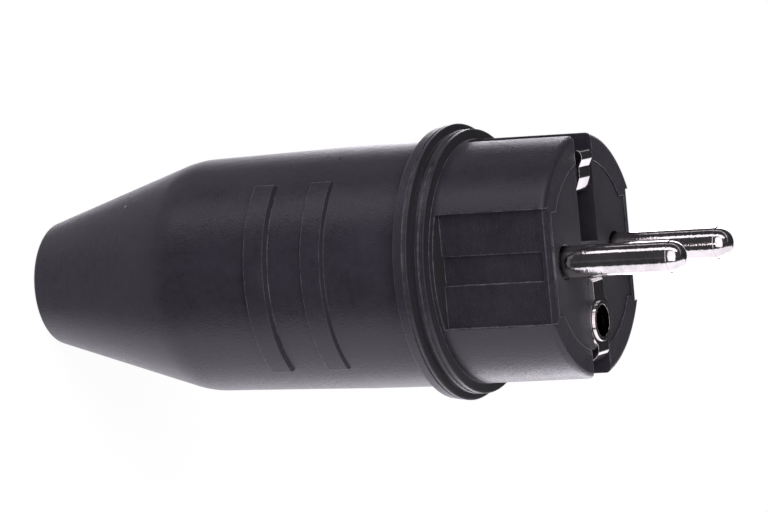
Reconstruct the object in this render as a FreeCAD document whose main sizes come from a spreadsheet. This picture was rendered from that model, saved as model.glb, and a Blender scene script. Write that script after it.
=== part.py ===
import FreeCAD, Part
import math
import os
import Sketcher
from FreeCAD import Placement, Rotation, Vector

# A rewirable rubber mains plug with two round pins, side earth contacts and an earth-pin hole.
# Frame: the plug stands on its cable end, +Z runs along its axis to the pin tips, the pins lie
# in the YZ plane and the earth contacts in the XZ plane. All sizes are in millimetres.

SIZES = {
    # hood, from the cable end upwards
    "body_length": 92.3,
    "tail_radius": 9.6,
    "tail_rounding": 0.8,
    "shoulder_height": 27.4,
    "shoulder_radius": 18.15,
    "shoulder_rounding": 15.0,
    "waist_height": 55.0,
    "waist_radius": 18.75,
    "barrel_radius": 18.9,
    "mouth_ring_height": 2.6,
    "mouth_ring_rear_radius": 20.8,
    "mouth_ring_radius": 21.2,
    "mouth_groove_place": 1.7,
    "mouth_groove_width": 0.3,
    "mouth_groove_depth": 0.15,
    "ring_rounding": 0.25,
    "cavity_radius": 15.0,
    "cavity_cone_height": 36.0,
    "throat_height": 16.0,
    "cable_entry_radius": 5.25,
    "entry_chamfer": 0.8,
    "band_height": 42.8,
    "band_width": 3.8,
    "band_pitch": 9.7,
    "band_rise": 0.35,
    "band_slope": 0.5,
    "band_root": 2.0,
    "band_angle": 98.0,
    # sealing ring and front body
    "seal_thickness": 0.8,
    "seal_radius": 19.95,
    "seal_lip": 0.7,
    "flange_height": 1.6,
    "flange_radius": 20.2,
    "flange_groove_depth": 0.15,
    "flange_groove_place": 0.55,
    "flange_groove_width": 0.35,
    "nose_length": 18.4,
    "nose_radius": 18.7,
    "nose_tip_radius": 18.6,
    "nose_rounding": 0.9,
    "spigot_length": 13.0,
    "spigot_radius": 15.8,
    "spigot_bore_radius": 12.9,
    "spigot_clearance": 0.2,
    "terminal_relief": 0.6,
    "terminal_relief_width": 6.4,
    "head_relief": 0.2,
    # guide recesses on both sides and grooves for the earth contacts
    "guide_wall": 1.65,
    "guide_width": 17.2,
    "guide_length": 17.65,
    "guide_bevel": 0.7,
    "channel_width": 4.4,
    "channel_depth": 0.5,
    "channel_margin": 1.3,
    "contact_groove_width": 6.6,
    # pin carrier
    "carrier_radius": 14.3,
    "carrier_side": 7.65,
    "carrier_margin": 4.35,
    "carrier_clearance": 0.1,
    "carrier_setback": 0.27,
    "carrier_height": 18.1,
    "slot_inner": 1.9,
    "slot_outer": 10.4,
    "slot_width": 6.4,
    "post_place": 10.1,
    "post_angle": 41.0,
    "post_radius": 2.3,
    "partition_margin": 4.9,
    "partition_wall": 1.2,
    "partition_length": 20.0,
    "partition_height": 11.0,
    # live pins
    "pin_diameter": 4.8,
    "pin_length": 19.0,
    "pin_spacing": 19.0,
    "dome_step": 0.12,
    "shank_diameter": 5.4,
    "pin_shoulder_radius": 3.3,
    "pin_shoulder_height": 3.0,
    "terminal_radius": 3.0,
    "terminal_length": 11.0,
    "wire_bore_radius": 1.6,
    "wire_bore_depth": 8.5,
    "terminal_screw_height": 4.0,
    "slide_clearance": 0.05,
    # earth contacts, sleeve and terminal
    "strip_thickness": 0.8,
    "strip_width": 3.9,
    "strip_clearance": 0.1,
    "strip_bend": 0.6,
    "side_contact_place": 16.0,
    "side_contact_length": 15.8,
    "side_contact_tuck": 0.9,
    "side_contact_tuck_height": 2.5,
    "crown_height": 0.5,
    "crown_length": 1.3,
    "crown_slope": 1.15,
    "saddle_sink": 0.1,
    "saddle_length": 1.6,
    "facet_length": 1.0,
    "earth_hole_place": 10.0,
    "earth_hole_radius": 2.5,
    "eyelet_radius": 4.0,
    "eyelet_lip_radius": 3.05,
    "eyelet_lip": 0.25,
    "lower_leg_place": 4.0,
    "sleeve_wall": 0.55,
    "sleeve_length": 15.5,
    "earth_block_width": 5.0,
    "earth_block_height": 5.5,
    "earth_block_drop": 4.0,
    "earth_wire_height": 3.3,
    "earth_screw_length": 2.7,
    # fasteners
    "small_thread_radius": 1.2,
    "small_head_radius": 2.0,
    "small_head_height": 1.4,
    "clamp_thread_radius": 1.5,
    "clamp_head_radius": 2.7,
    "clamp_head_height": 1.8,
    "driver_slot_width": 0.6,
    "driver_slot_share": 0.5,
    "nut_width": 5.5,
    "nut_height": 2.0,
    # retaining plate and cable clamp
    "plate_thickness": 2.5,
    "plate_radius": 14.6,
    "plate_hole_radius": 5.6,
    "clamp_gap": 4.5,
    "clamp_wall": 2.8,
    "clamp_width": 22.0,
    "clamp_height": 8.0,
    "clamp_drop": 11.0,
    "clamp_screw_place": 8.2,
    "cable_radius": 5.0,
    "carrier_screw_length": 9.0,
}

doc = FreeCAD.newDocument("earthed_plug")
sheet = doc.addObject("Spreadsheet::Sheet", "Sizes")
for row, (alias, number) in enumerate(SIZES.items(), start=1):
    sheet.set(f"A{row}", alias)
    sheet.set(f"B{row}", str(number))
    sheet.setAlias(f"B{row}", alias)
doc.recompute()


class Size:
    """A length that knows its present number and the sheet formula that it comes from."""

    def __init__(self, number, formula):
        self.number = number
        self.formula = formula

    def __add__(self, other):
        return Size(self.number + plain(other), f"({self.formula} + {written(other)})")

    def __sub__(self, other):
        return Size(self.number - plain(other), f"({self.formula} - {written(other)})")

    def __rsub__(self, other):
        return Size(plain(other) - self.number, f"({written(other)} - {self.formula})")

    def __mul__(self, other):
        return Size(self.number * plain(other), f"({self.formula} * {written(other)})")

    def __truediv__(self, other):
        return Size(self.number / plain(other), f"({self.formula} / {written(other)})")

    def __neg__(self):
        return Size(-self.number, f"(0 - {self.formula})")


def plain(value):
    return value.number if isinstance(value, Size) else value


def written(value):
    return value.formula if isinstance(value, Size) else f"{value:.6f}"


def size(alias):
    return Size(float(sheet.get(alias)), f"Sizes.{alias}")


def cosine(angle):
    return Size(math.cos(math.radians(angle.number)), f"cos({angle.formula} * 1deg)")


def sine(angle):
    return Size(math.sin(math.radians(angle.number)), f"sin({angle.formula} * 1deg)")


def bind(thing, **values):
    for name, value in values.items():
        thing.setExpression(name, written(value))


def place(thing, at):
    for letter, value in zip("xyz", at):
        thing.setExpression(f"Placement.Base.{letter}", written(value))


# Heights that several pieces share
face = size("body_length")
nose_base = face - size("nose_length")
flange_base = nose_base - size("flange_height")
hood_top = flange_base - size("seal_thickness")
mouth_ring_base = hood_top - size("mouth_ring_height")
spigot_end = flange_base - size("spigot_length")
carrier_face = face - size("carrier_setback")
carrier_base = carrier_face - size("carrier_height")
pin_radius = size("pin_diameter") / 2
pin_place = size("pin_spacing") / 2
shank_radius = size("shank_diameter") / 2
carrier_reach = pin_place + size("carrier_margin")
guide_flat = carrier_reach + size("guide_wall")
half_groove = size("contact_groove_width") / 2
strip_slot = size("strip_width") / 2 + size("strip_clearance")
saddle_top = face - size("saddle_sink")
post_turn = Rotation(Vector(0, 0, 1), size("post_angle").number)
earth_block_top = carrier_base - size("earth_block_drop")
earth_block_base = earth_block_top - size("earth_block_height")
plate_base = spigot_end - size("plate_thickness")

UP = Rotation()
DOWN = Rotation(Vector(1, 0, 0), 180)
TO_PLUS_X = Rotation(Vector(0, 1, 0), 90)
TO_MINUS_X = Rotation(Vector(0, 1, 0), -90)
TO_PLUS_Y = Rotation(Vector(1, 0, 0), -90)

nodes = []


def finish(solid, label):
    solid.Label = label
    nodes.append(solid)
    return solid


def cylinder(name, radius, height, at=(0, 0, 0), turn=UP):
    solid = doc.addObject("Part::Cylinder", name)
    solid.Placement = Placement(Vector(), turn)
    bind(solid, Radius=radius, Height=height)
    place(solid, at)
    return solid


def box(name, x_range, y_range, z_range):
    solid = doc.addObject("Part::Box", name)
    spans = [high - low for low, high in (x_range, y_range, z_range)]
    bind(solid, Length=spans[0], Width=spans[1], Height=spans[2])
    place(solid, (x_range[0], y_range[0], z_range[0]))
    return solid


def fuse(name, solids):
    joined = doc.addObject("Part::MultiFuse", name)
    joined.Shapes = solids
    joined.Refine = True
    return joined


def cut(name, base, tools):
    result = doc.addObject("Part::Cut", name)
    result.Base = base
    result.Tool = tools[0] if len(tools) == 1 else fuse(name + "_tools", tools)
    result.Refine = True
    return result


def along_posts(distance, sideways, height):
    """A place measured along and across the line through the two carrier posts."""
    angle = size("post_angle")
    x_value = cosine(angle) * distance - sine(angle) * sideways
    y_value = sine(angle) * distance + cosine(angle) * sideways
    return (x_value, y_value, height)


def new_body(name):
    return doc.addObject("PartDesign::Body", name)


def origin_part(body, role):
    return next(part for part in body.Origin.OriginFeatures if part.Role == role)


def new_sketch(body, name, plane, lift=None):
    sketch = body.newObject("Sketcher::SketchObject", name)
    sketch.AttachmentSupport = [(origin_part(body, plane), "")]
    sketch.MapMode = "FlatFace"
    if lift is not None:
        sketch.setExpression("AttachmentOffset.Base.z", written(lift))
    return sketch


def pin_point(sketch, geometry, end, at):
    """Tie one end of a line to its place by two dimensions from the sketch's origin."""
    for kind, axis, value in (("DistanceX", -2, at[0]), ("DistanceY", -1, at[1])):
        if not isinstance(value, Size):
            sketch.addConstraint(Sketcher.Constraint("PointOnObject", geometry, end, axis))
            continue
        label = f"{kind}{geometry}"
        rule = Sketcher.Constraint(kind, -1, 1, geometry, end, value.number)
        sketch.renameConstraint(sketch.addConstraint(rule), label)
        sketch.setExpression(f"Constraints.{label}", value.formula)


def outline(sketch, points):
    """Draw a closed outline of straight lines through points given as pairs of sizes."""
    corners = [Vector(plain(u), plain(v), 0) for u, v in points]
    count = len(corners)
    for index in range(count):
        sketch.addGeometry(Part.LineSegment(corners[index], corners[(index + 1) % count]))
    for index in range(count):
        following = (index + 1) % count
        sketch.addConstraint(Sketcher.Constraint("Coincident", index, 2, following, 1))
    for index, point in enumerate(points):
        pin_point(sketch, index, 1, point)


def rectangle(sketch, u_range, v_range):
    (left, right), (low, high) = u_range, v_range
    outline(sketch, [(left, low), (right, low), (right, high), (left, high)])


def revolve(body, name, sketch):
    turned = body.newObject("PartDesign::Revolution", name)
    turned.Profile = sketch
    turned.ReferenceAxis = (origin_part(body, "Z_Axis"), [""])
    turned.Angle = 360
    return turned


def pocket(body, name, sketch, depth, both_ways=False):
    hole = body.newObject("PartDesign::Pocket", name)
    hole.Profile = sketch
    hole.Midplane = both_ways
    bind(hole, Length=depth)
    return hole


def repeat_opposite(body, name, features):
    pattern = body.newObject("PartDesign::PolarPattern", name)
    pattern.Originals = features
    pattern.Axis = (origin_part(body, "Z_Axis"), [""])
    pattern.Angle = 360
    pattern.Occurrences = 2
    body.Tip = pattern
    return pattern


def ring_edges(feature, radius, height):
    """Names of the full or partial circles of one radius at one height."""
    found = []
    for index, edge in enumerate(feature.Shape.Edges, start=1):
        curve = edge.Curve
        if not isinstance(curve, Part.Circle):
            continue
        same_radius = abs(curve.Radius - radius.number) < 1e-4
        if same_radius and abs(curve.Center.z - plain(height)) < 1e-4:
            found.append(f"Edge{index}")
    return found


def round_rings(body, name, base, rings, radius):
    doc.recompute()
    blend = body.newObject("PartDesign::Fillet", name)
    names = [edge for ring in rings for edge in ring_edges(base, *ring)]
    blend.Base = (base, names)
    bind(blend, Radius=radius)
    return blend


def make_hood():
    """Rear housing: tapered rubber sleeve with a cable throat, grip bands and a mouth ring."""
    body = new_body("Hood")
    sketch = new_sketch(body, "HoodProfile", "XZ_Plane")
    tail_radius = size("tail_radius")
    shoulder = (size("shoulder_radius"), size("shoulder_height"))
    ring_top = (size("mouth_ring_radius"), hood_top)
    ring_low = (size("mouth_ring_rear_radius"), mouth_ring_base)
    mouth_radius = size("spigot_radius") + size("spigot_clearance")
    seat = spigot_end - size("spigot_clearance")
    entry = size("cable_entry_radius")
    slope = (ring_top[0] - ring_low[0]) / size("mouth_ring_height")
    groove_low = size("mouth_groove_place")
    groove_top = groove_low + size("mouth_groove_width")
    low_edge = ring_low[0] + slope * groove_low
    top_edge = ring_low[0] + slope * groove_top
    outline(sketch, [
        (entry + size("entry_chamfer"), 0),
        (tail_radius, 0),
        shoulder,
        (size("waist_radius"), size("waist_height")),
        (size("barrel_radius"), mouth_ring_base),
        ring_low,
        (low_edge, mouth_ring_base + groove_low),
        (low_edge - size("mouth_groove_depth"), mouth_ring_base + groove_low),
        (top_edge - size("mouth_groove_depth"), mouth_ring_base + groove_top),
        (top_edge, mouth_ring_base + groove_top),
        ring_top,
        (mouth_radius, hood_top),
        (mouth_radius, seat),
        (size("cavity_radius"), seat),
        (size("cavity_radius"), size("cavity_cone_height")),
        (entry, size("throat_height")),
        (entry, size("entry_chamfer")),
    ])
    turned = revolve(body, "HoodTurned", sketch)
    rounded = round_rings(body, "TailRounding", turned, [(tail_radius, 0)], size("tail_rounding"))
    rounded = round_rings(body, "ShoulderRounding", rounded, [shoulder], size("shoulder_rounding"))
    round_rings(body, "MouthRounding", rounded, [ring_low, ring_top], size("ring_rounding"))
    bands = []
    root = size("waist_radius") - size("band_root")
    crest = size("waist_radius") + size("band_rise")
    for step in range(2):
        low = size("band_height") + size("band_pitch") * step
        top = low + size("band_width")
        profile = new_sketch(body, f"BandProfile{step}", "YZ_Plane")
        outline(profile, [
            (root, low),
            (crest, low),
            (crest, top - size("band_slope")),
            (size("waist_radius"), top),
            (root, top),
        ])
        band = revolve(body, f"GripBand{step}", profile)
        band.Midplane = True
        bind(band, Angle=size("band_angle"))
        bands.append(band)
    repeat_opposite(body, "GripBands", bands)
    finish(body, "hood")


def carrier_outline(sketch, clearance):
    """A circle whose two sides are widened into flat-topped shoulders beside the guides."""
    radius = size("carrier_radius") + clearance
    side = size("carrier_side") + clearance
    reach = carrier_reach + clearance
    level = math.sqrt(radius.number ** 2 - side.number ** 2)
    angle = math.atan2(level, side.number)
    across, along = side.number, reach.number
    centre = Part.Circle(Vector(), Vector(0, 0, 1), radius.number)
    shapes = [
        Part.LineSegment(Vector(across, along, 0), Vector(-across, along, 0)),
        Part.LineSegment(Vector(-across, along, 0), Vector(-across, level, 0)),
        Part.ArcOfCircle(centre, math.pi - angle, math.pi + angle),
        Part.LineSegment(Vector(-across, -level, 0), Vector(-across, -along, 0)),
        Part.LineSegment(Vector(-across, -along, 0), Vector(across, -along, 0)),
        Part.LineSegment(Vector(across, -along, 0), Vector(across, -level, 0)),
        Part.ArcOfCircle(centre, -angle, angle),
        Part.LineSegment(Vector(across, level, 0), Vector(across, along, 0)),
    ]
    for shape in shapes:
        sketch.addGeometry(shape)
    for index in range(len(shapes)):
        following = (index + 1) % len(shapes)
        sketch.addConstraint(Sketcher.Constraint("Coincident", index, 2, following, 1))
    for index in (1, 3, 5, 7):
        sketch.addConstraint(Sketcher.Constraint("Vertical", index))
    for index in (2, 6):
        sketch.addConstraint(Sketcher.Constraint("Coincident", index, 3, -1, 1))
        rule = sketch.addConstraint(Sketcher.Constraint("Radius", index, radius.number))
        sketch.renameConstraint(rule, f"Radius{index}")
        sketch.setExpression(f"Constraints.Radius{index}", radius.formula)
    pin_point(sketch, 0, 1, (side, reach))
    pin_point(sketch, 1, 1, (-side, reach))
    pin_point(sketch, 4, 1, (-side, -reach))
    pin_point(sketch, 5, 1, (side, -reach))


def make_front_body():
    """Front housing: collar flange, spigot with terminal reliefs, guide recesses, contact grooves."""
    body = new_body("FrontBody")
    sketch = new_sketch(body, "FrontProfile", "XZ_Plane")
    bore = size("spigot_bore_radius")
    flange = size("flange_radius")
    groove_floor = flange - size("flange_groove_depth")
    groove_low = flange_base + size("flange_groove_place")
    groove_high = groove_low + size("flange_groove_width")
    tip = (size("nose_tip_radius"), face)
    outline(sketch, [
        (bore, spigot_end),
        (size("spigot_radius"), spigot_end),
        (size("spigot_radius"), flange_base),
        (flange, flange_base),
        (flange, groove_low),
        (groove_floor, groove_low),
        (groove_floor, groove_high),
        (flange, groove_high),
        (flange, nose_base),
        (size("nose_radius"), nose_base),
        tip,
        (bore, face),
    ])
    turned = revolve(body, "FrontTurned", sketch)
    rounded = round_rings(body, "NoseRounding", turned, [tip], size("nose_rounding"))
    round_rings(body, "FlangeRounding", rounded, [(flange, nose_base)], size("ring_rounding"))

    seat = new_sketch(body, "CarrierSeatOutline", "XY_Plane", face)
    carrier_outline(seat, size("carrier_clearance"))
    pocket(body, "CarrierSeat", seat, face - carrier_base)

    beyond = size("flange_radius")
    half_guide = size("guide_width") / 2
    half_channel = size("channel_width") / 2
    flat = new_sketch(body, "GuideOutline", "XY_Plane", face)
    rectangle(flat, (-half_guide, half_guide), (guide_flat, beyond))
    flat_pocket = pocket(body, "GuideRecess", flat, size("guide_length"))

    channel = new_sketch(body, "ChannelOutline", "XY_Plane", face - size("channel_margin"))
    rectangle(channel, (-half_channel, half_channel), (guide_flat - size("channel_depth"), beyond))
    channel_length = size("guide_length") - size("channel_margin")
    channel_pocket = pocket(body, "GuideChannel", channel, channel_length)

    bevel = new_sketch(body, "BevelOutline", "YZ_Plane")
    outline(bevel, [
        (guide_flat - size("guide_bevel"), face),
        (guide_flat, face - size("guide_bevel")),
        (beyond, face - size("guide_bevel")),
        (beyond, face),
    ])
    bevel_pocket = pocket(body, "GuideBevel", bevel, size("guide_width"), both_ways=True)
    repeat_opposite(body, "Guides", [flat_pocket, channel_pocket, bevel_pocket])

    groove = new_sketch(body, "ContactGrooveOutline", "XY_Plane", face)
    rectangle(groove, (bore, beyond), (-half_groove, half_groove))
    groove_pocket = pocket(body, "ContactGroove", groove, size("guide_length"))
    repeat_opposite(body, "ContactGrooves", [groove_pocket])
    span = (spigot_end, carrier_base)
    half_relief = size("terminal_relief_width") / 2
    reach = pin_place + size("terminal_radius") + size("terminal_relief")
    relief = box("TerminalRelief", (-half_relief, half_relief), (-reach, reach), span)
    half_head = size("terminal_radius") + size("small_head_height") + size("head_relief")
    head_reach = pin_place + size("small_head_radius") + size("head_relief")
    heads = box("ScrewHeadRelief", (-half_head, half_head), (-head_reach, head_reach), span)
    finish(cut("FrontHousing", body, [relief, heads]), "front_body")


def make_sealing_ring():
    """Soft ring squeezed between the hood's mouth and the front body's flange."""
    height = size("seal_thickness")
    outer = cylinder("SealOuter", size("seal_radius"), height, (0, 0, hood_top))
    inner_radius = size("spigot_radius") + size("seal_lip")
    inner = cylinder("SealInner", inner_radius, height, (0, 0, hood_top))
    finish(cut("SealingRing", outer, [inner]), "sealing_ring")


def make_pin_carrier():
    """Face insert that holds the pins, the earth contacts and the terminals."""
    body = new_body("CarrierBlock")
    sketch = new_sketch(body, "CarrierOutline", "XY_Plane", carrier_base)
    carrier_outline(sketch, 0)
    pad = body.newObject("PartDesign::Pad", "CarrierPad")
    pad.Profile = sketch
    bind(pad, Length=size("carrier_height"))

    height = size("carrier_height")
    length = size("partition_length")
    wall = size("partition_wall")
    drop = size("partition_height")
    added = [body]
    for side in (-1, 1):
        post_at = along_posts(size("post_place") * side, 0, spigot_end)
        post_height = carrier_base - spigot_end
        added.append(cylinder(f"Post{side + 1}", size("post_radius"), post_height, post_at))
        middle = (pin_place - size("partition_margin") + wall / 2) * side
        added.append(box(
            f"Partition{side + 1}",
            (-length / 2, length / 2),
            (middle - wall / 2, middle + wall / 2),
            (carrier_base - drop, carrier_base),
        ))
    block = fuse("CarrierSolid", added)

    holes = []
    for side in (-1, 1):
        place_y = pin_place * side
        shank = shank_radius + size("slide_clearance")
        holes.append(cylinder(f"PinHole{side + 1}", shank, height, (0, place_y, carrier_base)))
        shoulder = size("pin_shoulder_radius") + size("slide_clearance")
        depth = size("pin_shoulder_height")
        holes.append(cylinder(f"ShoulderHole{side + 1}", shoulder, depth, (0, place_y, carrier_base)))
        thread_at = along_posts(size("post_place") * side, 0, spigot_end)
        thread_depth = size("carrier_screw_length")
        holes.append(cylinder(f"PostHole{side + 1}", size("small_thread_radius"), thread_depth, thread_at))
    half_slot = size("slot_width") / 2
    holes.append(box(
        "FaceSlot",
        (-size("slot_outer"), -size("slot_inner")),
        (-half_slot, half_slot),
        (carrier_base, carrier_face),
    ))
    thickness = size("strip_thickness")
    spare = size("strip_clearance")
    saddle_floor = saddle_top - thickness
    holes.append(box(
        "UpperContactSeat",
        (-size("carrier_radius"), -size("slot_outer")),
        (-half_groove, half_groove),
        (saddle_floor, carrier_face),
    ))
    holes.append(box(
        "UpperContactDrop",
        (-(size("slot_outer") + size("saddle_length") + size("strip_bend") / 2), -size("slot_outer")),
        (-strip_slot, strip_slot),
        (saddle_floor - thickness - spare, carrier_face),
    ))
    inner_bend = size("strip_bend") - thickness / 2
    leg_place = size("lower_leg_place")
    holes.append(box(
        "LowerLegSlot",
        (leg_place - thickness - spare, leg_place + inner_bend + spare),
        (-strip_slot, strip_slot),
        (carrier_base, carrier_face),
    ))
    sleeve_base = carrier_face - size("sleeve_length")
    sleeve_radius = size("earth_hole_radius") + size("sleeve_wall") + size("slide_clearance")
    sleeve_at = (size("earth_hole_place"), 0, sleeve_base)
    holes.append(cylinder("SleeveHole", sleeve_radius, size("sleeve_length"), sleeve_at))
    finish(cut("PinCarrier", block, holes), "pin_carrier")


def make_live_pin(label, side):
    """Round pin with a domed tip, a shoulder in the carrier and a wire terminal behind."""
    name = label.title().replace("_", "")
    place_y = pin_place * side
    tip_centre = face + size("pin_length") - pin_radius
    shoulder_radius = size("pin_shoulder_radius")
    shoulder_height = size("pin_shoulder_height")
    shoulder_top = carrier_base + shoulder_height
    terminal_radius = size("terminal_radius")
    terminal_length = size("terminal_length")
    terminal_base = carrier_base - terminal_length
    foot = (0, place_y, terminal_base)
    dome_radius = pin_radius - size("dome_step")
    dome = doc.addObject("Part::Sphere", name + "Dome")
    bind(dome, Radius=dome_radius)
    place(dome, (0, place_y, tip_centre + size("dome_step")))
    solids = [
        cylinder(name + "Round", pin_radius, tip_centre - carrier_face, (0, place_y, carrier_face)),
        dome,
        cylinder(name + "Shank", shank_radius, carrier_face - shoulder_top, (0, place_y, shoulder_top)),
        cylinder(name + "Shoulder", shoulder_radius, shoulder_height, (0, place_y, carrier_base)),
        cylinder(name + "Terminal", terminal_radius, terminal_length, foot),
    ]
    screw_at = (0, place_y, terminal_base + size("terminal_screw_height"))
    thread_radius = size("small_thread_radius")
    turn = TO_MINUS_X if side > 0 else TO_PLUS_X
    holes = [
        cylinder(name + "WireBore", size("wire_bore_radius"), size("wire_bore_depth"), foot),
        cylinder(name + "ScrewHole", thread_radius, terminal_radius, screw_at, turn),
    ]
    finish(cut(name, fuse(name + "Solid", solids), holes), label)


def make_screw(label, thread_radius, thread_length, head_radius, head_height, at, turn):
    """Slotted cheese-head screw: the point at the local origin's far side, the head at its top."""
    name = label.title().replace("_", "")
    thread = cylinder(name + "Thread", thread_radius, thread_length, (0, 0, -thread_length))
    head = cylinder(name + "Head", head_radius, head_height)
    half_slot = size("driver_slot_width") / 2
    slot_depth = head_height * size("driver_slot_share")
    slot = box(
        name + "Slot",
        (-head_radius, head_radius),
        (-half_slot, half_slot),
        (head_height - slot_depth, head_height),
    )
    screw = cut(name, fuse(name + "Solid", [thread, head]), [slot])
    screw.Placement = Placement(Vector(), turn)
    place(screw, at)
    finish(screw, label)


def make_terminal_screws():
    height = carrier_base - size("terminal_length") + size("terminal_screw_height")
    reach = size("terminal_radius") - size("wire_bore_radius") / 2
    sides = (("line_terminal_screw", -1, TO_PLUS_X), ("neutral_terminal_screw", 1, TO_MINUS_X))
    for label, side, turn in sides:
        at = (size("terminal_radius") * -side, pin_place * side, height)
        make_screw(
            label,
            size("small_thread_radius"),
            reach,
            size("small_head_radius"),
            size("small_head_height"),
            at,
            turn,
        )


def strip_shape(path, thickness, bend_radius, width):
    """Bent strip along a path of (x, z) points, with round bends and a constant thickness."""
    points = [Vector(x, 0, z) for x, z in path]
    normal = Vector(0, 1, 0)
    sides = {1: [], -1: []}
    for side in sides:
        trail = []
        for index, point in enumerate(points):
            if index in (0, len(points) - 1):
                near = points[1] if index == 0 else points[-2]
                run = (near - point) if index == 0 else (point - near)
                offset = normal.cross(run.normalize()) * (side * thickness / 2)
                trail.append((point + offset,))
                continue
            coming = (point - points[index - 1]).normalize()
            going = (points[index + 1] - point).normalize()
            turn = math.acos(max(-1.0, min(1.0, coming.dot(going))))
            hand = 1 if normal.cross(coming).dot(going) > 0 else -1
            back = bend_radius * math.tan(turn / 2)
            start = point - coming * back
            end = point + going * back
            centre = start + normal.cross(coming) * (hand * bend_radius)
            radius = bend_radius - side * hand * thickness / 2
            middle = (point - centre).normalize()
            trail.append((
                centre + (start - centre).normalize() * radius,
                centre + middle * radius,
                centre + (end - centre).normalize() * radius,
            ))
        sides[side] = trail
    forward = sides[1]
    backward = [tuple(reversed(stop)) for stop in reversed(sides[-1])]
    edges = []
    stops = forward + backward
    for index, stop in enumerate(stops):
        if len(stop) == 3:
            edges.append(Part.Arc(*stop).toShape())
        following = stops[(index + 1) % len(stops)]
        edges.append(Part.LineSegment(stop[-1], following[0]).toShape())
    profile = Part.Face(Part.Wire(edges))
    profile.translate(Vector(0, -width / 2, 0))
    return profile.extrude(Vector(0, width, 0))


def side_contact_path(sign, bend_height):
    """Centre line of a side contact, from its tucked lower end to the bend at the face."""
    half = size("strip_thickness").number / 2
    outer = size("side_contact_place").number - half
    tuck = outer - size("side_contact_tuck").number
    low = face.number - size("side_contact_length").number
    return [
        (sign * tuck, low),
        (sign * outer, low + size("side_contact_tuck_height").number),
        (sign * outer, bend_height - half),
    ]


def add_strip(label, shape):
    strip = doc.addObject("Part::Feature", label.title().replace("_", ""))
    strip.Shape = shape
    strip.Placement = Placement()
    finish(strip, label)


def make_upper_contact():
    """Earth strip opposite the earth hole: side contact, crown, saddle and leg to the terminal."""
    thickness = size("strip_thickness").number
    half = thickness / 2
    crown = face.number + size("crown_height").number
    saddle = saddle_top.number - half
    leg = -(size("slot_outer").number - half)
    crown_end = size("side_contact_place").number - size("crown_length").number
    saddle_end = size("slot_outer").number + size("saddle_length").number
    path = side_contact_path(-1, crown) + [
        (-crown_end, crown - half),
        (-(crown_end - size("crown_slope").number), saddle),
        (-saddle_end, saddle),
        (leg, saddle - thickness),
        (leg, earth_block_base.number),
    ]
    shape = strip_shape(path, thickness, size("strip_bend").number, size("strip_width").number)
    add_strip("upper_earth_contact", shape)


def make_lower_contact():
    """Earth strip with the eyelet over the earth hole and its own side contact."""
    thickness = size("strip_thickness").number
    half = thickness / 2
    width = size("strip_width").number
    plate = carrier_face.number + half
    leg = size("lower_leg_place").number - half
    facet = size("facet_length").number
    path = side_contact_path(1, plate + half - facet) + [
        (size("side_contact_place").number - half - facet, plate),
        (leg, plate),
        (leg, earth_block_base.number),
    ]
    shape = strip_shape(path, thickness, size("strip_bend").number, width)
    place_x = size("earth_hole_place").number
    low = Vector(place_x, 0, carrier_face.number)
    ring = Part.makeCylinder(size("eyelet_radius").number, thickness, low)
    lip_height = thickness + size("eyelet_lip").number
    lip = Part.makeCylinder(size("eyelet_lip_radius").number, lip_height, low)
    hole = Part.makeCylinder(size("earth_hole_radius").number, 4 * thickness, low - Vector(0, 0, thickness))
    add_strip("lower_earth_contact", shape.fuse([ring, lip]).cut(hole).removeSplitter())


def make_earth_sleeve():
    """Drawn sleeve under the eyelet that grips the socket's earth pin."""
    inner_radius = size("earth_hole_radius")
    length = size("sleeve_length")
    at = (size("earth_hole_place"), 0, carrier_face - length)
    outer = cylinder("SleeveOuter", inner_radius + size("sleeve_wall"), length, at)
    inner = cylinder("SleeveInner", inner_radius, length, at)
    finish(cut("EarthSleeve", outer, [inner]), "earth_sleeve")


def make_earth_terminal():
    """Brass block between the legs of the two earth strips, with a cross hole for the wire."""
    left = -(size("slot_outer") - size("strip_thickness"))
    right = size("lower_leg_place") - size("strip_thickness")
    middle = (left + right) / 2
    wire_height = size("earth_wire_height")
    block_heights = (earth_block_base, earth_block_top)
    half_block = size("earth_block_width") / 2
    block = box("EarthBlock", (left, right), (-half_block, half_block), block_heights)
    thread_radius = size("small_thread_radius")
    thread = cylinder("EarthThread", thread_radius, wire_height, (middle, 0, earth_block_base))
    wire_at = (middle, -half_block, earth_block_base + wire_height)
    wire_length = size("earth_block_width")
    wire = cylinder("EarthWireHole", size("wire_bore_radius"), wire_length, wire_at, TO_PLUS_Y)
    finish(cut("EarthTerminal", block, [thread, wire]), "earth_terminal")
    make_screw(
        "earth_terminal_screw",
        thread_radius,
        size("earth_screw_length"),
        size("small_head_radius"),
        size("small_head_height"),
        (middle, 0, earth_block_base),
        DOWN,
    )


def clamp_place(distance, side):
    return (distance, size("clamp_screw_place") * side, plate_base - size("clamp_drop") / 2)


def turn_to_posts(solid):
    """Swing a piece that was drawn along X to the line through the carrier posts."""
    solid.Placement = Placement(Vector(), post_turn)
    bind(solid, **{"Placement.Rotation.Angle": size("post_angle")})
    return solid


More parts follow.
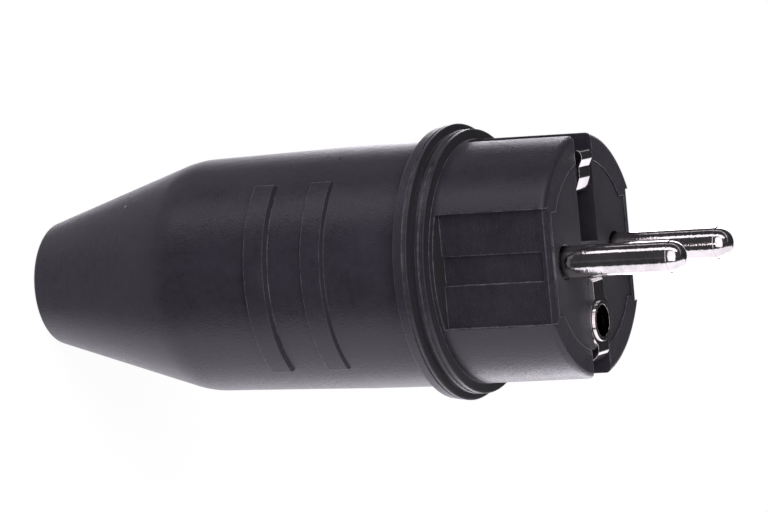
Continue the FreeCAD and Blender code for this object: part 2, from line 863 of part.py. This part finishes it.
def make_retaining_plate():
    """Plate that draws the carrier back into the front body and carries the cable saddle."""
    plate = cylinder("PlateDisc", size("plate_radius"), size("plate_thickness"), (0, 0, plate_base))
    inner = size("clamp_gap")
    wall = size("clamp_wall")
    drop = size("clamp_drop")
    half_width = size("clamp_width") / 2
    saddle = box(
        "Saddle",
        (inner, inner + wall),
        (-half_width, half_width),
        (plate_base - drop, plate_base),
    )
    holes = [
        cylinder("PlateHole", size("plate_hole_radius"), size("plate_thickness"), (0, 0, plate_base)),
        cylinder("SaddleGroove", size("cable_radius"), drop, (0, 0, plate_base - drop)),
    ]
    for side in (-1, 1):
        screw_at = (size("post_place") * side, 0, plate_base)
        clearance = size("small_thread_radius") + size("slide_clearance")
        holes.append(cylinder(f"PlateScrewHole{side + 1}", clearance, size("plate_thickness"), screw_at))
        bolt = size("clamp_thread_radius") + size("slide_clearance")
        bolt_at = clamp_place(inner, side)
        holes.append(cylinder(f"SaddleBoltHole{side + 1}", bolt, wall, bolt_at, TO_PLUS_X))
    solid = cut("RetainingPlate", fuse("PlateSolid", [plate, saddle]), holes)
    finish(turn_to_posts(solid), "retaining_plate")


def make_clamp_bar():
    """Loose bar that the two clamp screws pull onto the cable."""
    inner = size("clamp_gap")
    outer = inner + size("clamp_wall")
    half_width = size("clamp_width") / 2
    middle = plate_base - size("clamp_drop") / 2
    half_height = size("clamp_height") / 2
    low = middle - half_height
    bar = box("BarBlock", (-outer, -inner), (-half_width, half_width), (low, middle + half_height))
    groove_at = (0, 0, low)
    holes = [cylinder("BarGroove", size("cable_radius"), size("clamp_height"), groove_at)]
    for side in (-1, 1):
        bolt = size("clamp_thread_radius") + size("slide_clearance")
        at = clamp_place(-outer, side)
        holes.append(cylinder(f"BarBoltHole{side + 1}", bolt, size("clamp_wall"), at, TO_PLUS_X))
    finish(turn_to_posts(cut("ClampBar", bar, holes)), "clamp_bar")


def make_clamp_fasteners():
    outer = size("clamp_gap") + size("clamp_wall")
    length = outer * 2 + size("nut_height")
    nut_radius = size("nut_width") / math.sqrt(3)
    nut_height = size("nut_height")
    for side, word in ((-1, "near"), (1, "far")):
        make_screw(
            f"clamp_screw_{word}",
            size("clamp_thread_radius"),
            length,
            size("clamp_head_radius"),
            size("clamp_head_height"),
            along_posts(*clamp_place(-outer, side)),
            post_turn * TO_MINUS_X,
        )
        prism = doc.addObject("Part::Prism", f"NutBlank{side + 1}")
        prism.Polygon = 6
        prism.Placement = Placement(Vector(), TO_PLUS_X)
        bind(prism, Circumradius=nut_radius, Height=nut_height)
        at = clamp_place(outer, side)
        place(prism, at)
        thread_radius = size("clamp_thread_radius")
        bore = cylinder(f"NutBore{side + 1}", thread_radius, nut_height, at, TO_PLUS_X)
        nut = cut(f"ClampNut{side + 1}", prism, [bore])
        finish(turn_to_posts(nut), f"clamp_nut_{word}")


def make_carrier_screws():
    for side, word in ((-1, "near"), (1, "far")):
        make_screw(
            f"carrier_screw_{word}",
            size("small_thread_radius"),
            size("carrier_screw_length") + size("plate_thickness"),
            size("small_head_radius"),
            size("small_head_height"),
            along_posts(size("post_place") * side, 0, plate_base),
            DOWN,
        )


def save_nodes():
    doc.recompute()
    for thing in doc.Objects:
        if {"Invalid", "Error"} & set(thing.State):
            raise RuntimeError(f"{thing.Label} failed: {thing.State}")
    os.makedirs("parts", exist_ok=True)
    for solid in nodes:
        shape = solid.Shape
        if shape.isNull() or not shape.isValid() or not shape.Solids:
            raise RuntimeError(f"{solid.Label} has no valid solid")
        shape.exportStep(f"parts/{solid.Label}.step")
        low = shape.BoundBox.ZMin
        high = shape.BoundBox.ZMax
        print(f"{solid.Label}: {shape.Volume:.1f} mm3, z {low:.2f} to {high:.2f}")


make_hood()
make_front_body()
make_sealing_ring()
make_pin_carrier()
make_live_pin("line_pin", -1)
make_live_pin("neutral_pin", 1)
make_terminal_screws()
make_upper_contact()
make_lower_contact()
make_earth_sleeve()
make_earth_terminal()
make_retaining_plate()
make_clamp_bar()
make_clamp_fasteners()
make_carrier_screws()
save_nodes()
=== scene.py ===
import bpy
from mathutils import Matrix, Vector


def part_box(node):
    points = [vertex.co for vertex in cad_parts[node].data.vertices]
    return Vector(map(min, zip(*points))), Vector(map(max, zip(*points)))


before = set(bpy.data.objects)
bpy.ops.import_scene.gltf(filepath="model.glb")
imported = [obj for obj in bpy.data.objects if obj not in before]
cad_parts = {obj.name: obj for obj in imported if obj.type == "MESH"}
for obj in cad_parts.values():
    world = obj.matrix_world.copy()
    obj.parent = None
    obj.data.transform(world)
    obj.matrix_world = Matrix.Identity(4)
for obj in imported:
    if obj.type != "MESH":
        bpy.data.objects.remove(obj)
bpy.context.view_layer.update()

from math import cos, pi, sin

import bpy
from mathutils import Matrix, Vector

MM = 0.001
WHITE = (1, 1, 1, 1)
BLACK = (0, 0, 0, 1)

# The camera of the photo, fitted in the object's own frame, with its lens and sensor in mm
EYE = Vector((-50.814, -583.379, 345.900)) * MM
VIEW_DOWN = Vector((0.99292313, -0.10811307, -0.04914481))
VIEW_FORWARD = Vector((0.07544660, 0.89383300, -0.44200722))
VIEW_RIGHT = VIEW_DOWN.cross(VIEW_FORWARD)
LENS = 198.423
SENSOR = 36.0
CLIP_NEAR = 10 * MM
CLIP_FAR = 20.0

# The floor: a round table, plain out to one radius and faded out at the other. The camera sees
# plain white with a share of the table's own shade
FLOOR_RADIUS = 65 * MM
FLOOR_PLAIN = 25 * MM
FLOOR_SIDES = 96
FLOOR_DROP = 0.2 * MM
FLOOR_TINT = (0.9, 0.9, 0.9, 1)
FLOOR_SHADE = 0.12
FLOOR_WHITE = 1.07

# Noises of the materials: scale per metre, detail and roughness
PATCHES = (90, 3, 0.6)
MOTTLE = (700, 6, 0.7)
FINE_GRAIN = (3200, 3, 0.6)
TURNED_LINES = (2200, 2, 0.5)
STREAKS = (2400, 1.5, 0.6)
STAINS = (260, 5, 0.65)

# Rubber: the spans of the mottled tone over which its colour and its roughness change, and how
# much smoother and duller than the mean it gets
TONE_LOW = 0.36
TONE_HIGH = 0.64
GLOSS_LOW = 0.3
GLOSS_HIGH = 0.7
SMOOTHER = 0.06
DULLER = 0.08
IOR = 1.5
SHEEN = 0.2
SHEEN_ROUGHNESS = 0.35

# Depths of the rubber's grain, and the squeeze that turns a noise into lines round the object
FINE_DEPTH = 0.08 * MM
MOTTLE_DEPTH = 0.03 * MM
LINE_DEPTH = 0.02 * MM
LINE_SQUEEZE = (0.01, 0.01, 1)

# Lighter edges, partly wear and partly a painted highlight; dust in the middle of some cells; and
# painted shade in crevices
EDGE_SAMPLES = 6
WORN_AND_HIGHLIGHT_TINT = (0.15, 0.143, 0.16, 1)
WORN_AND_HIGHLIGHT_STOPS = [(0.42, 0.15), (0.6, 1.0)]
DUST_TINT = (0.5, 0.49, 0.48, 1)
DUST_SCALE = 330.0
DUST_SIZE = 0.055
# Painted shade in crevices: its samples, its reach and how dark it gets
CREVICE_SHADE_SAMPLES = 8
CREVICE_SHADE_REACH = 0.8 * MM
CREVICE_SHADE_STOPS = [(0.2, 0.45), (0.6, 1.0)]

# Painted shade on walls that face the pins, on the hood and the collar but not on the plug's face:
# darker and duller there
COLLAR_TOP = 80 * MM
WALL_START = 0.2
WALL_GAIN = 4.0
PAINTED_WALL_SHADE = 0.75
WALL_DULL = 0.4

# Metal: the span of the stains over which its colour changes, the lowest share of its roughness,
# its marks, and painted shade at the root of the pins, which also darkens the sleeve inside
STAIN_LOW = 0.35
STAIN_HIGH = 0.6
GLOSS_FLOOR = 0.55
MARK_STRENGTH = 0.25
CARRIER_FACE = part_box("pin_carrier")[1][2]
PIN_ROOT = CARRIER_FACE + 0.07 * MM
ROOT_SHADE_LENGTH = 1.4 * MM
ROOT_SHADE_TINT = (0.05, 0.047, 0.05, 1)

# The light tent round the object. Its white table is below the object in the picture, and its
# backdrop fades out between a little under and a little over the horizon
TENT_WHITE = 1.15
TENT_GROUND = 0.33
TENT_TINT = (1.0, 0.955, 1.06, 1)
TENT_TABLE = Vector((0.9705, 0.2062, 0.0))
TABLE_STOPS = [(0.43, 0.0), (0.5, TENT_WHITE)]
BACKDROP_FADE = 0.14
GROUND_STOPS = [(0.6, 0.0), (0.85, TENT_GROUND)]
ROOM_LIGHT = (0.24, 0.235, 0.25, 1)

# Upright bands of the tent: place as a share of a turn, and brightness. 0 is behind the object,
# 0.25 above it in the picture, 0.5 at the camera and 0.75 below it in the picture
BACKDROP_BANDS = [
    (0.0, TENT_WHITE),
    (0.075, TENT_WHITE),
    (0.1, 0.0),
    (0.95, 0.0),
    (0.97, TENT_WHITE),
]
TENT_BANDS = [
    (0.0, 0.025),
    (0.1, 0.035),
    (0.188, 0.06),
    (0.195, 0.75),
    (0.208, 0.75),
    (0.215, 0.04),
    (0.5, 0.05),
    (0.52, 0.085),
    (0.545, 0.04),
    (0.97, 0.04),
    (1.0, 0.025),
]

# Lamps: name, direction from the object, width and height in metres, and power in watts
LAMP_TINT = (0.97, 0.925, 1.0)
LAMP_AIM = Vector((0, 0, 56)) * MM
LAMP_DISTANCE = 0.7
LAMPS = [
    ("lamp_top_front", (-0.895, -0.42, 0.12), 0.22, 1.5, 1.7),
    ("lamp_top_back", (-0.344, 0.939, -0.25), 0.3, 0.3, 1.1),
    ("lamp_low_back", (0.72, 0.69, -0.05), 0.3, 0.5, 1.7),
    ("lamp_front", (-0.15, -0.9, 0.4), 1.1, 0.75, 3.4),
    ("lamp_face", (-0.42, -0.5, 0.76), 0.4, 0.4, 2.8),
]

# The finish of each node; every other node is a steel screw or nut
FINISHES = {
    "hood": "housing",
    "front_body": "front",
    "sealing_ring": "seal",
    "pin_carrier": "insert",
    "retaining_plate": "insert",
    "clamp_bar": "insert",
    "line_pin": "plated",
    "neutral_pin": "plated",
    "upper_earth_contact": "strip",
    "lower_earth_contact": "strip",
    "earth_sleeve": "plated",
    "earth_terminal": "brass",
}


def add_camera():
    data = bpy.data.cameras.new("camera")
    data.sensor_fit = "HORIZONTAL"
    data.sensor_width = SENSOR
    data.lens = LENS
    data.clip_start = CLIP_NEAR
    data.clip_end = CLIP_FAR
    camera = bpy.data.objects.new("camera", data)
    bpy.context.scene.collection.objects.link(camera)
    turn = Matrix((VIEW_RIGHT, -VIEW_DOWN, -VIEW_FORWARD)).transposed()
    camera.matrix_world = Matrix.Translation(EYE) @ turn.to_4x4()
    bpy.context.scene.camera = camera


class Tree:
    """Adds nodes to a material's or a world's tree and links them."""

    def __init__(self, owner):
        owner.use_nodes = True
        self.tree = owner.node_tree
        self.tree.nodes.clear()

    def add(self, kind, values=None, **settings):
        node = self.tree.nodes.new(kind)
        for name, value in settings.items():
            setattr(node, name, value)
        for socket, value in (values or {}).items():
            if isinstance(value, bpy.types.NodeSocket):
                self.tree.links.new(value, node.inputs[socket])
            else:
                node.inputs[socket].default_value = value
        return node

    def math(self, operation, first, second=0.0, clamp=False):
        values = {0: first, 1: second}
        node = self.add("ShaderNodeMath", values, operation=operation, use_clamp=clamp)
        return node.outputs[0]

    def smooth_step(self, value, start, end):
        """0 at start, 1 at end and a smooth change between them."""
        values = {"Value": value, "From Min": start, "From Max": end}
        node = self.add("ShaderNodeMapRange", values, interpolation_type="SMOOTHSTEP")
        return node.outputs["Result"]

    def ramp(self, value, stops):
        """A colour that follows a value. Each stop is a place with a grey level or a colour."""
        node = self.add("ShaderNodeValToRGB", {"Fac": value})
        elements = node.color_ramp.elements
        while len(elements) < len(stops):
            elements.new(1)
        for element, (place, tone) in zip(elements, stops):
            colour = tone if isinstance(tone, tuple) else (tone, tone, tone)
            element.position = place
            element.color = (*colour, 1)
        return node.outputs["Color"]

    def mix(self, share, first, second, blend="MIX"):
        # A Mix node's colours are its sockets 6 and 7, and its output 2
        values = {0: share, 6: first, 7: second}
        node = self.add("ShaderNodeMix", values, data_type="RGBA", blend_type=blend)
        return node.outputs[2]

    def noise(self, where, scale, detail, roughness):
        values = {"Vector": where, "Scale": scale, "Detail": detail, "Roughness": roughness}
        return self.add("ShaderNodeTexNoise", values).outputs["Fac"]

    def scaled(self, where, scale):
        return self.add("ShaderNodeMapping", {"Vector": where, "Scale": scale}).outputs["Vector"]

    def dot(self, first, second):
        node = self.add("ShaderNodeVectorMath", {0: first, 1: second}, operation="DOT_PRODUCT")
        return node.outputs["Value"]

    def upward(self, vector):
        """The Z part of a vector."""
        return self.add("ShaderNodeSeparateXYZ", {0: vector}).outputs["Z"]

    def rounded(self, radius):
        """The surface's normal with its edges rounded off to a radius."""
        node = self.add("ShaderNodeBevel", {"Radius": radius}, samples=EDGE_SAMPLES)
        return node.outputs["Normal"]

    def bump(self, height, strength, distance, normal):
        values = {"Height": height, "Strength": strength, "Distance": distance, "Normal": normal}
        return self.add("ShaderNodeBump", values).outputs["Normal"]

    def mix_shaders(self, share, first, second):
        return self.add("ShaderNodeMixShader", {0: share, 1: first, 2: second}).outputs[0]


def worn_and_highlit_edges(tree, rounded, flat, mottle, edge_wear_and_highlight):
    """The share of wear and painted highlight: high where the rounded normal leaves the true one,
    broken by the mottle.
    """
    turned = tree.dot(rounded, flat)
    edge = tree.math("MULTIPLY", tree.math("SUBTRACT", 1.0, turned), edge_wear_and_highlight, True)
    broken = tree.ramp(mottle, WORN_AND_HIGHLIGHT_STOPS)
    return tree.math("MULTIPLY", edge, broken, True)


def dust_specks(tree, where, dust):
    """A small round speck in the middle of a share of the cells."""
    cells = tree.add("ShaderNodeTexVoronoi", {"Vector": where, "Scale": DUST_SCALE}).outputs
    picked = tree.add("ShaderNodeSeparateColor", {"Color": cells["Color"]}).outputs["Red"]
    chosen = tree.math("GREATER_THAN", picked, 1 - dust)
    near = tree.math("LESS_THAN", cells["Distance"], DUST_SIZE)
    return tree.math("MULTIPLY", chosen, near)


def painted_crevice_shade(tree, base):
    """Painted shade: darken a colour where other surfaces stand close by."""
    values = {"Distance": CREVICE_SHADE_REACH}
    node = tree.add("ShaderNodeAmbientOcclusion", values, samples=CREVICE_SHADE_SAMPLES)
    shade = tree.ramp(node.outputs["AO"], CREVICE_SHADE_STOPS)
    return tree.mix(1.0, base, shade, "MULTIPLY")


def wall_shade_mask(tree, where, flat, top):
    """The share of painted shade: how far a surface faces the pins, on the parts of it below a height.
    """
    steep = tree.math("SUBTRACT", tree.upward(flat), WALL_START)
    steep = tree.math("MULTIPLY", steep, WALL_GAIN, True)
    return tree.math("MULTIPLY", steep, tree.math("LESS_THAN", tree.upward(where), top))


def moulded_normal(tree, where, fine, mottle, rounded, grain):
    """The rounded normal with a fine grain, a coarser one and faint lines round the object."""
    lines = tree.noise(tree.scaled(where, LINE_SQUEEZE), *TURNED_LINES)
    normal = tree.bump(fine, grain, FINE_DEPTH, rounded)
    normal = tree.bump(mottle, grain, MOTTLE_DEPTH, normal)
    return tree.bump(lines, grain, LINE_DEPTH, normal)


def rubber(name, dark, light, roughness, grain, dust, edge_radius, edge_wear_and_highlight=5.0, shade_walls_below=None):
    """Moulded rubber or plastic, with painted shade and a duller finish on front walls below a height
    if one is given.
    """
    material = bpy.data.materials.new(name)
    tree = Tree(material)
    where = tree.add("ShaderNodeTexCoord").outputs["Object"]
    patches = tree.noise(where, *PATCHES)
    mottle = tree.noise(where, *MOTTLE)
    fine = tree.noise(where, *FINE_GRAIN)
    tone = tree.math("MULTIPLY", tree.math("ADD", patches, mottle), 0.5)
    rounded = tree.rounded(edge_radius)
    flat = tree.add("ShaderNodeNewGeometry").outputs["Normal"]

    base = tree.ramp(tone, [(TONE_LOW, dark), (TONE_HIGH, light)])
    # Lighter edges, partly wear and partly a painted highlight
    base = tree.mix(worn_and_highlit_edges(tree, rounded, flat, mottle, edge_wear_and_highlight), base, WORN_AND_HIGHLIGHT_TINT)
    base = tree.mix(dust_specks(tree, where, dust), base, DUST_TINT)
    # Painted shade, darker where other surfaces stand close by
    base = painted_crevice_shade(tree, base)
    gloss = tree.ramp(tone, [(GLOSS_LOW, roughness - SMOOTHER), (GLOSS_HIGH, roughness + DULLER)])
    if shade_walls_below is not None:
        # Painted shade: front walls below the height are darkened and made duller
        wall_shade = wall_shade_mask(tree, where, flat, shade_walls_below)
        base = tree.mix(tree.math("MULTIPLY", wall_shade, PAINTED_WALL_SHADE), base, BLACK)
        gloss = tree.math("ADD", gloss, tree.math("MULTIPLY", wall_shade, WALL_DULL), True)

    shader = tree.add("ShaderNodeBsdfPrincipled", {
        "Base Color": base,
        "Roughness": gloss,
        "Normal": moulded_normal(tree, where, fine, mottle, rounded, grain),
        "IOR": IOR,
        "Sheen Weight": SHEEN,
        "Sheen Roughness": SHEEN_ROUGHNESS,
    })
    tree.add("ShaderNodeOutputMaterial", {"Surface": shader.outputs[0]})
    return material


def metal(name, dark, light, roughness, edge_radius, along=(1, 1, 1), marks=0.02 * MM, root=None):
    """Plain or plated metal, with painted shade below the height of its root if one is given."""
    material = bpy.data.materials.new(name)
    tree = Tree(material)
    where = tree.add("ShaderNodeTexCoord").outputs["Object"]
    streaks = tree.noise(tree.scaled(where, along), *STREAKS)
    stains = tree.noise(where, *STAINS)

    base = tree.ramp(stains, [(STAIN_LOW, dark), (STAIN_HIGH, light)])
    if root is not None:
        # Painted shade, darkening the metal towards the root of the pins
        root_shade = tree.smooth_step(tree.upward(where), root + ROOT_SHADE_LENGTH, root)
        base = tree.mix(root_shade, base, ROOT_SHADE_TINT)
    gloss = tree.math("MULTIPLY", streaks, roughness)
    gloss = tree.math("ADD", gloss, roughness * GLOSS_FLOOR)

    shader = tree.add("ShaderNodeBsdfPrincipled", {
        "Base Color": base,
        "Roughness": gloss,
        "Normal": tree.bump(streaks, MARK_STRENGTH, marks, tree.rounded(edge_radius)),
        "Metallic": 1.0,
    })
    tree.add("ShaderNodeOutputMaterial", {"Surface": shader.outputs[0]})
    return material


def make_rubbers():
    return {
        "housing": rubber(
            "housing_rubber",
            dark=(0.019, 0.0168, 0.0228),
            light=(0.029, 0.0257, 0.0349),
            roughness=0.3,
            grain=0.8,
            dust=0.03,
            edge_radius=0.3 * MM,
            edge_wear_and_highlight=7.0,
            shade_walls_below=COLLAR_TOP,
        ),
        "front": rubber(
            "front_rubber",
            dark=(0.0155, 0.0137, 0.0186),
            light=(0.0245, 0.0217, 0.0294),
            roughness=0.3,
            grain=0.7,
            dust=0.03,
            edge_radius=0.25 * MM,
            shade_walls_below=COLLAR_TOP,
        ),
        "seal": rubber(
            "seal_rubber",
            dark=(0.0115, 0.01, 0.013),
            light=(0.019, 0.017, 0.022),
            roughness=0.38,
            grain=0.4,
            dust=0.02,
            edge_radius=0.2 * MM,
        ),
        "insert": rubber(
            "insert_plastic",
            dark=(0.013, 0.0115, 0.0155),
            light=(0.02, 0.0178, 0.024),
            roughness=0.55,
            grain=0.4,
            dust=0.05,
            edge_radius=0.1 * MM,
            edge_wear_and_highlight=1.0,
        ),
    }


def make_metals():
    return {
        "plated": metal(
            "plated_metal",
            dark=(0.66, 0.63, 0.61),
            light=(0.86, 0.83, 0.81),
            roughness=0.1,
            edge_radius=0.05 * MM,
            along=(0.5, 0.5, 1),
            marks=0.12 * MM,
            root=PIN_ROOT,
        ),
        "strip": metal(
            "strip_metal",
            dark=(0.78, 0.75, 0.73),
            light=(0.93, 0.9, 0.88),
            roughness=0.1,
            edge_radius=0.08 * MM,
        ),
        "brass": metal(
            "terminal_brass",
            dark=(0.55, 0.38, 0.14),
            light=(0.8, 0.6, 0.27),
            roughness=0.25,
            edge_radius=0.1 * MM,
        ),
        "steel": metal(
            "screw_steel",
            dark=(0.42, 0.42, 0.43),
            light=(0.62, 0.62, 0.64),
            roughness=0.3,
            edge_radius=0.1 * MM,
        ),
    }


def dress_nodes():
    materials = {**make_rubbers(), **make_metals()}
    for name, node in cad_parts.items():
        finish = materials[FINISHES.get(name, "steel")]
        for slot in node.material_slots:
            slot.material = finish


def floor_material():
    """Pale, almost plain white to the camera, faded out by distance and clear to glossy rays."""
    material = bpy.data.materials.new("pale_floor")
    tree = Tree(material)
    path = tree.add("ShaderNodeLightPath").outputs
    shown = tree.math("MAXIMUM", path["Is Camera Ray"], path["Is Transmission Ray"])
    share = tree.math("MULTIPLY", shown, 1 - FLOOR_SHADE)
    plain = tree.add("ShaderNodeBsdfDiffuse", {"Color": FLOOR_TINT}).outputs[0]
    glow = {"Color": WHITE, "Strength": FLOOR_WHITE}
    white = tree.add("ShaderNodeEmission", glow).outputs[0]
    table = tree.mix_shaders(share, plain, white)
    where = tree.add("ShaderNodeTexCoord").outputs["Object"]
    away = tree.add("ShaderNodeVectorMath", {0: where}, operation="LENGTH").outputs["Value"]
    gone = tree.smooth_step(away, FLOOR_PLAIN, FLOOR_RADIUS)
    gone = tree.math("MAXIMUM", gone, path["Is Glossy Ray"])
    clear = tree.add("ShaderNodeBsdfTransparent").outputs[0]
    faded = tree.mix_shaders(gone, table, clear)
    tree.add("ShaderNodeOutputMaterial", {"Surface": faded})
    return material


def add_floor():
    turns = [2 * pi * side / FLOOR_SIDES for side in range(FLOOR_SIDES)]
    ring = [(FLOOR_RADIUS * cos(turn), FLOOR_RADIUS * sin(turn), -FLOOR_DROP) for turn in turns]
    mesh = bpy.data.meshes.new("floor")
    mesh.from_pydata(ring, [], [tuple(range(FLOOR_SIDES))])
    mesh.materials.append(floor_material())
    floor = bpy.data.objects.new("floor", mesh)
    bpy.context.scene.collection.objects.link(floor)


def level(direction):
    """A direction laid down into the horizontal plane."""
    return Vector((direction.x, direction.y, 0)).normalized()


def tent_walls(tree, where):
    """Upright bands round the object, a white backdrop below the horizon and a pale ground."""
    side = tree.dot(where, level(VIEW_DOWN))
    back = tree.dot(where, level(VIEW_FORWARD))
    angle = tree.math("ARCTAN2", side, tree.math("MULTIPLY", back, -1.0))
    place = tree.math("ADD", tree.math("MULTIPLY", angle, 0.5 / pi), 0.5)
    height = tree.upward(where)
    low = tree.smooth_step(height, BACKDROP_FADE, -BACKDROP_FADE)
    backdrop = tree.mix(1.0, tree.ramp(place, BACKDROP_BANDS), low, "MULTIPLY")
    ground = tree.ramp(tree.math("MULTIPLY", height, -1.0), GROUND_STOPS)
    bands = tree.mix(1.0, tree.ramp(place, TENT_BANDS), ground, "LIGHTEN")
    return tree.mix(1.0, bands, backdrop, "LIGHTEN")


def light_world():
    """The tent is for glossy rays, an even room light for diffuse ones, and the camera sees white.

    The world isn't sampled as a light, so that each kind of ray finds its own light.
    """
    world = bpy.data.worlds.new("studio")
    world.cycles.sampling_method = "NONE"
    bpy.context.scene.world = world
    tree = Tree(world)
    path = tree.add("ShaderNodeLightPath").outputs
    where = tree.add("ShaderNodeTexCoord").outputs["Generated"]
    table = tree.ramp(tree.dot(where, TENT_TABLE), TABLE_STOPS)
    tent = tree.mix(1.0, tent_walls(tree, where), table, "LIGHTEN")
    tent = tree.mix(1.0, tent, TENT_TINT, "MULTIPLY")
    colour = tree.mix(path["Is Glossy Ray"], ROOM_LIGHT, tent)
    clear = tree.math("MAXIMUM", path["Is Camera Ray"], path["Is Transmission Ray"])
    colour = tree.mix(clear, colour, WHITE)
    background = tree.add("ShaderNodeBackground", {"Color": colour, "Strength": 1.0})
    tree.add("ShaderNodeOutputWorld", {"Surface": background.outputs[0]})


def add_lamp(name, direction, width, height, power):
    data = bpy.data.lights.new(name, "AREA")
    data.shape = "RECTANGLE"
    data.size = width
    data.size_y = height
    data.energy = power
    data.color = LAMP_TINT
    lamp = bpy.data.objects.new(name, data)
    bpy.context.scene.collection.objects.link(lamp)
    back = Vector(direction).normalized()
    side = Vector((0, 0, 1)).cross(back).normalized()
    turn = Matrix((side, back.cross(side), back)).transposed()
    lamp.matrix_world = Matrix.Translation(LAMP_AIM + back * LAMP_DISTANCE) @ turn.to_4x4()
    return lamp


def add_lamps():
    """All lamps. The one for the plug's face isn't seen in reflections."""
    lamps = {name: add_lamp(name, *form) for name, *form in LAMPS}
    lamps["lamp_face"].visible_glossy = False


bpy.context.scene.view_settings.view_transform = "Standard"
add_camera()
light_world()
add_lamps()
add_floor()
dress_nodes()
